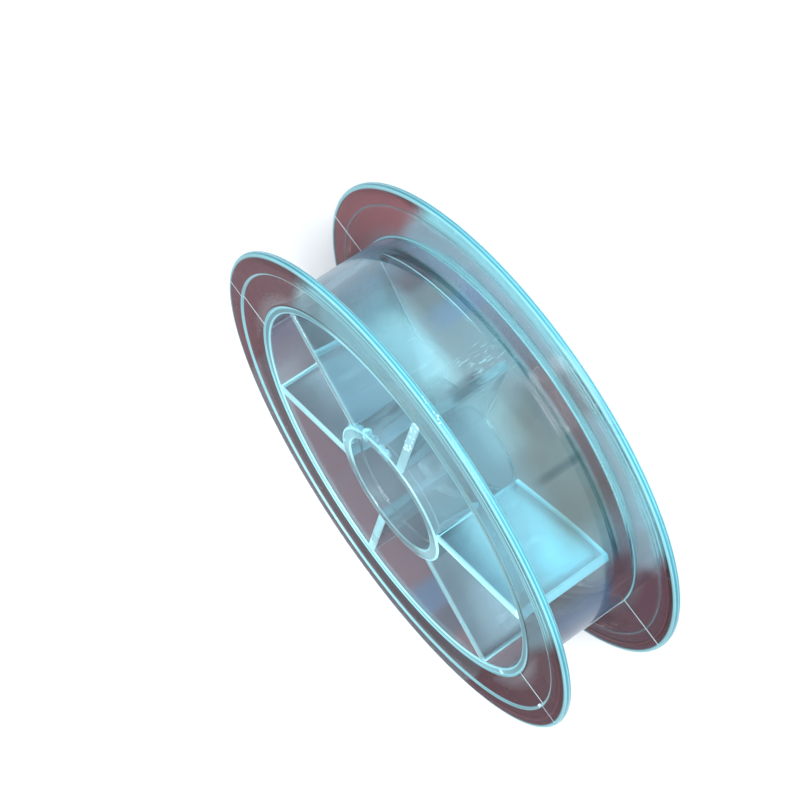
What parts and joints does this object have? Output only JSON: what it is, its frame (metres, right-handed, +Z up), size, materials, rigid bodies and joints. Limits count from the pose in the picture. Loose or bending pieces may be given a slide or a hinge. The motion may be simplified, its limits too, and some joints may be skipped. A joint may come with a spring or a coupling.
{
  "type": "clear plastic spool",
  "caption": "Empty clear plastic spool for thread, cord or ribbon: thin flanges on a wide hollow drum, radial vanes inside and a central arbor tube for a spindle.",
  "frame": {"origin": "middle of the spool's underside, on its axis, in the plane that the base flange's rim rests on", "axes": "+Z up along the spool's axis, from the base flange to the top flange; +X is 19.5 degrees clockwise of the first vane, seen from above"},
  "size_m": [0.08, 0.08, 0.02],
  "materials": {
    "clear_plastic": "transparent, polished mould finish with a faint blue-green tint at the edges"
  },
  "bodies": {
    "base_flange": {"base_flange": "clear_plastic"},
    "spool_body": {"top_flange": "clear_plastic", "winding_drum": "clear_plastic", "arbor_tube": "clear_plastic", "spoke_vane_1": "clear_plastic", "spoke_vane_2": "clear_plastic", "spoke_vane_3": "clear_plastic", "spoke_vane_4": "clear_plastic", "spoke_vane_5": "clear_plastic", "spoke_vane_6": "clear_plastic"}
  },
  "joints": [
    {"name": "drum_lift", "type": "slide", "parent": "base_flange", "child": "spool_body", "axis": [0, 0, 1], "range_m": [0, 0.03]}
  ]
}
